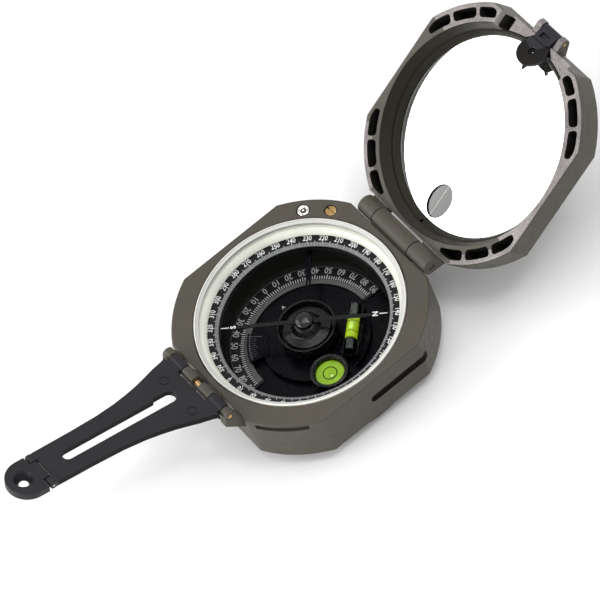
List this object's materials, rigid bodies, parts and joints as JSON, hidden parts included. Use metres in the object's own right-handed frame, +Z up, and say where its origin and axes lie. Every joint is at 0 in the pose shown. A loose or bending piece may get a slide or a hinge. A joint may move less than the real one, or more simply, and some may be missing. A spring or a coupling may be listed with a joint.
{
  "type": "geology compass",
  "caption": "Folding geology compass: eight-sided case with dial, needle and levels, hinged mirror lid with a peep sight, and a slotted folding sight arm.",
  "frame": {"origin": "centre of the opened compass in plan, at the flat underside of the bottom cover", "axes": "+Z up through the dial, +Y towards the mirror lid, -Y towards the sight arm, +X to the right seen from the sight arm"},
  "size_m": [0.07, 0.2106, 0.0555],
  "materials": {
    "olive_paint": "fine textured olive paint over cast aluminium",
    "white_ring": "off-white, satin",
    "black_plastic": "black, satin",
    "black_bowl": "black, matt",
    "dial_black": "black with engraved white graduations",
    "brass": "turned brass",
    "chrome": "polished",
    "steel": "bright steel",
    "glass": "clear",
    "mirror": "silvered glass",
    "level_fluid": "yellow-green level liquid",
    "rubber": "black"
  },
  "bodies": {
    "base": {"base_case": "olive_paint", "dial_bowl": "black_bowl", "bottom_cover": "olive_paint", "cover_screw_1": "steel", "cover_screw_2": "steel", "cover_screw_3": "steel", "cover_screw_4": "steel", "bezel_ring": "white_ring", "crystal": "glass", "crystal_gasket": "rubber", "reflector_ring": "white_ring", "pinion_bearing": "brass", "lock_spring": "steel", "lever_pivot_pin": "steel", "clinometer_scale": "dial_black", "shaft_washer": "steel", "lid_hinge_pin": "steel", "arm_hinge_pin": "brass"},
    "azimuth_dial": {"azimuth_ring": "dial_black"},
    "pinion": {"dial_pinion": "brass"},
    "needle_lock": {"lock_pin": "chrome"},
    "lifter": {"lift_lever": "black_plastic"},
    "clinometer": {"clinometer_shaft": "steel", "clinometer_lever": "black_plastic", "lever_screw": "steel", "clinometer_carrier": "black_plastic", "vernier_plate": "dial_black", "tube_holder": "black_plastic", "tube_vial": "glass", "tube_fluid": "level_fluid", "vial_plug_1": "steel", "vial_plug_2": "steel", "round_level_cup": "black_plastic", "round_level_fluid": "level_fluid", "round_level_glass": "glass", "damping_cup": "black_plastic", "pivot_post": "steel"},
    "needle": {"compass_needle": "steel", "needle_disc": "black_plastic", "needle_cap": "black_plastic"},
    "lid": {"lid_case": "olive_paint", "mirror_glass": "mirror", "mirror_ring": "black_plastic", "lid_sight_pin": "brass"},
    "peep_sight": {"lid_sight": "black_plastic"},
    "arm": {"sight_arm": "black_plastic", "tip_pin": "steel"},
    "tip": {"sight_tip": "black_plastic"}
  },
  "joints": [
    {"name": "lid_hinge", "type": "hinge", "parent": "base", "child": "lid", "pos_m": [0, 0.0353, 0.01985], "axis": [-1, 0, 0], "range_deg": [-148.8, 31.2]},
    {"name": "arm_hinge", "type": "hinge", "parent": "base", "child": "arm", "pos_m": [0, -0.03995, 0.0242], "axis": [1, 0, 0], "range_deg": [-163.5, 16.5]},
    {"name": "tip_hinge", "type": "hinge", "parent": "arm", "child": "tip", "pos_m": [0, -0.09378, 0.04035], "axis": [-1, 0, 0], "range_deg": [0, 90]},
    {"name": "sight_hinge", "type": "hinge", "parent": "lid", "child": "peep_sight", "pos_m": [0, 0.10367, 0.05173], "axis": [-1, 0, 0], "range_deg": [-19, 93]},
    {"name": "needle_pivot", "type": "hinge", "parent": "base", "child": "needle", "pos_m": [0, -0.0025, 0.0149], "axis": [0, 0, 1], "continuous": true},
    {"name": "dial_turn", "type": "hinge", "parent": "base", "child": "azimuth_dial", "pos_m": [0, -0.0025, 0.0144], "axis": [0, 0, 1], "continuous": true},
    {"name": "pinion_turn", "type": "hinge", "parent": "base", "child": "pinion", "pos_m": [-0.02131, 0.02599, 0.0144], "axis": [0, 0, 1], "continuous": true},
    {"name": "lock_press", "type": "slide", "parent": "base", "child": "needle_lock", "axis": [0, 0, 1], "range_m": [-0.0009, 0], "stiffness_N_per_m": 200, "springref_m": 0.0004, "deforming": ["lock_spring"]},
    {"name": "lifter_rock", "type": "hinge", "parent": "base", "child": "lifter", "pos_m": [-0.02315, 0.01658, 0.0118], "axis": [-0.6361, -0.7716, 0], "range_deg": [0, 7.8]},
    {"name": "clinometer_turn", "type": "hinge", "parent": "base", "child": "clinometer", "pos_m": [0, -0.0025, 0.0044], "axis": [0, 0, 1], "range_deg": [-135, 45]}
  ],
  "couplings": [
    {"joint": "pinion_turn", "follows": "dial_turn", "ratio": -12.3},
    {"joint": "lifter_rock", "follows": "lock_press", "rad_per_m": -151}
  ]
}
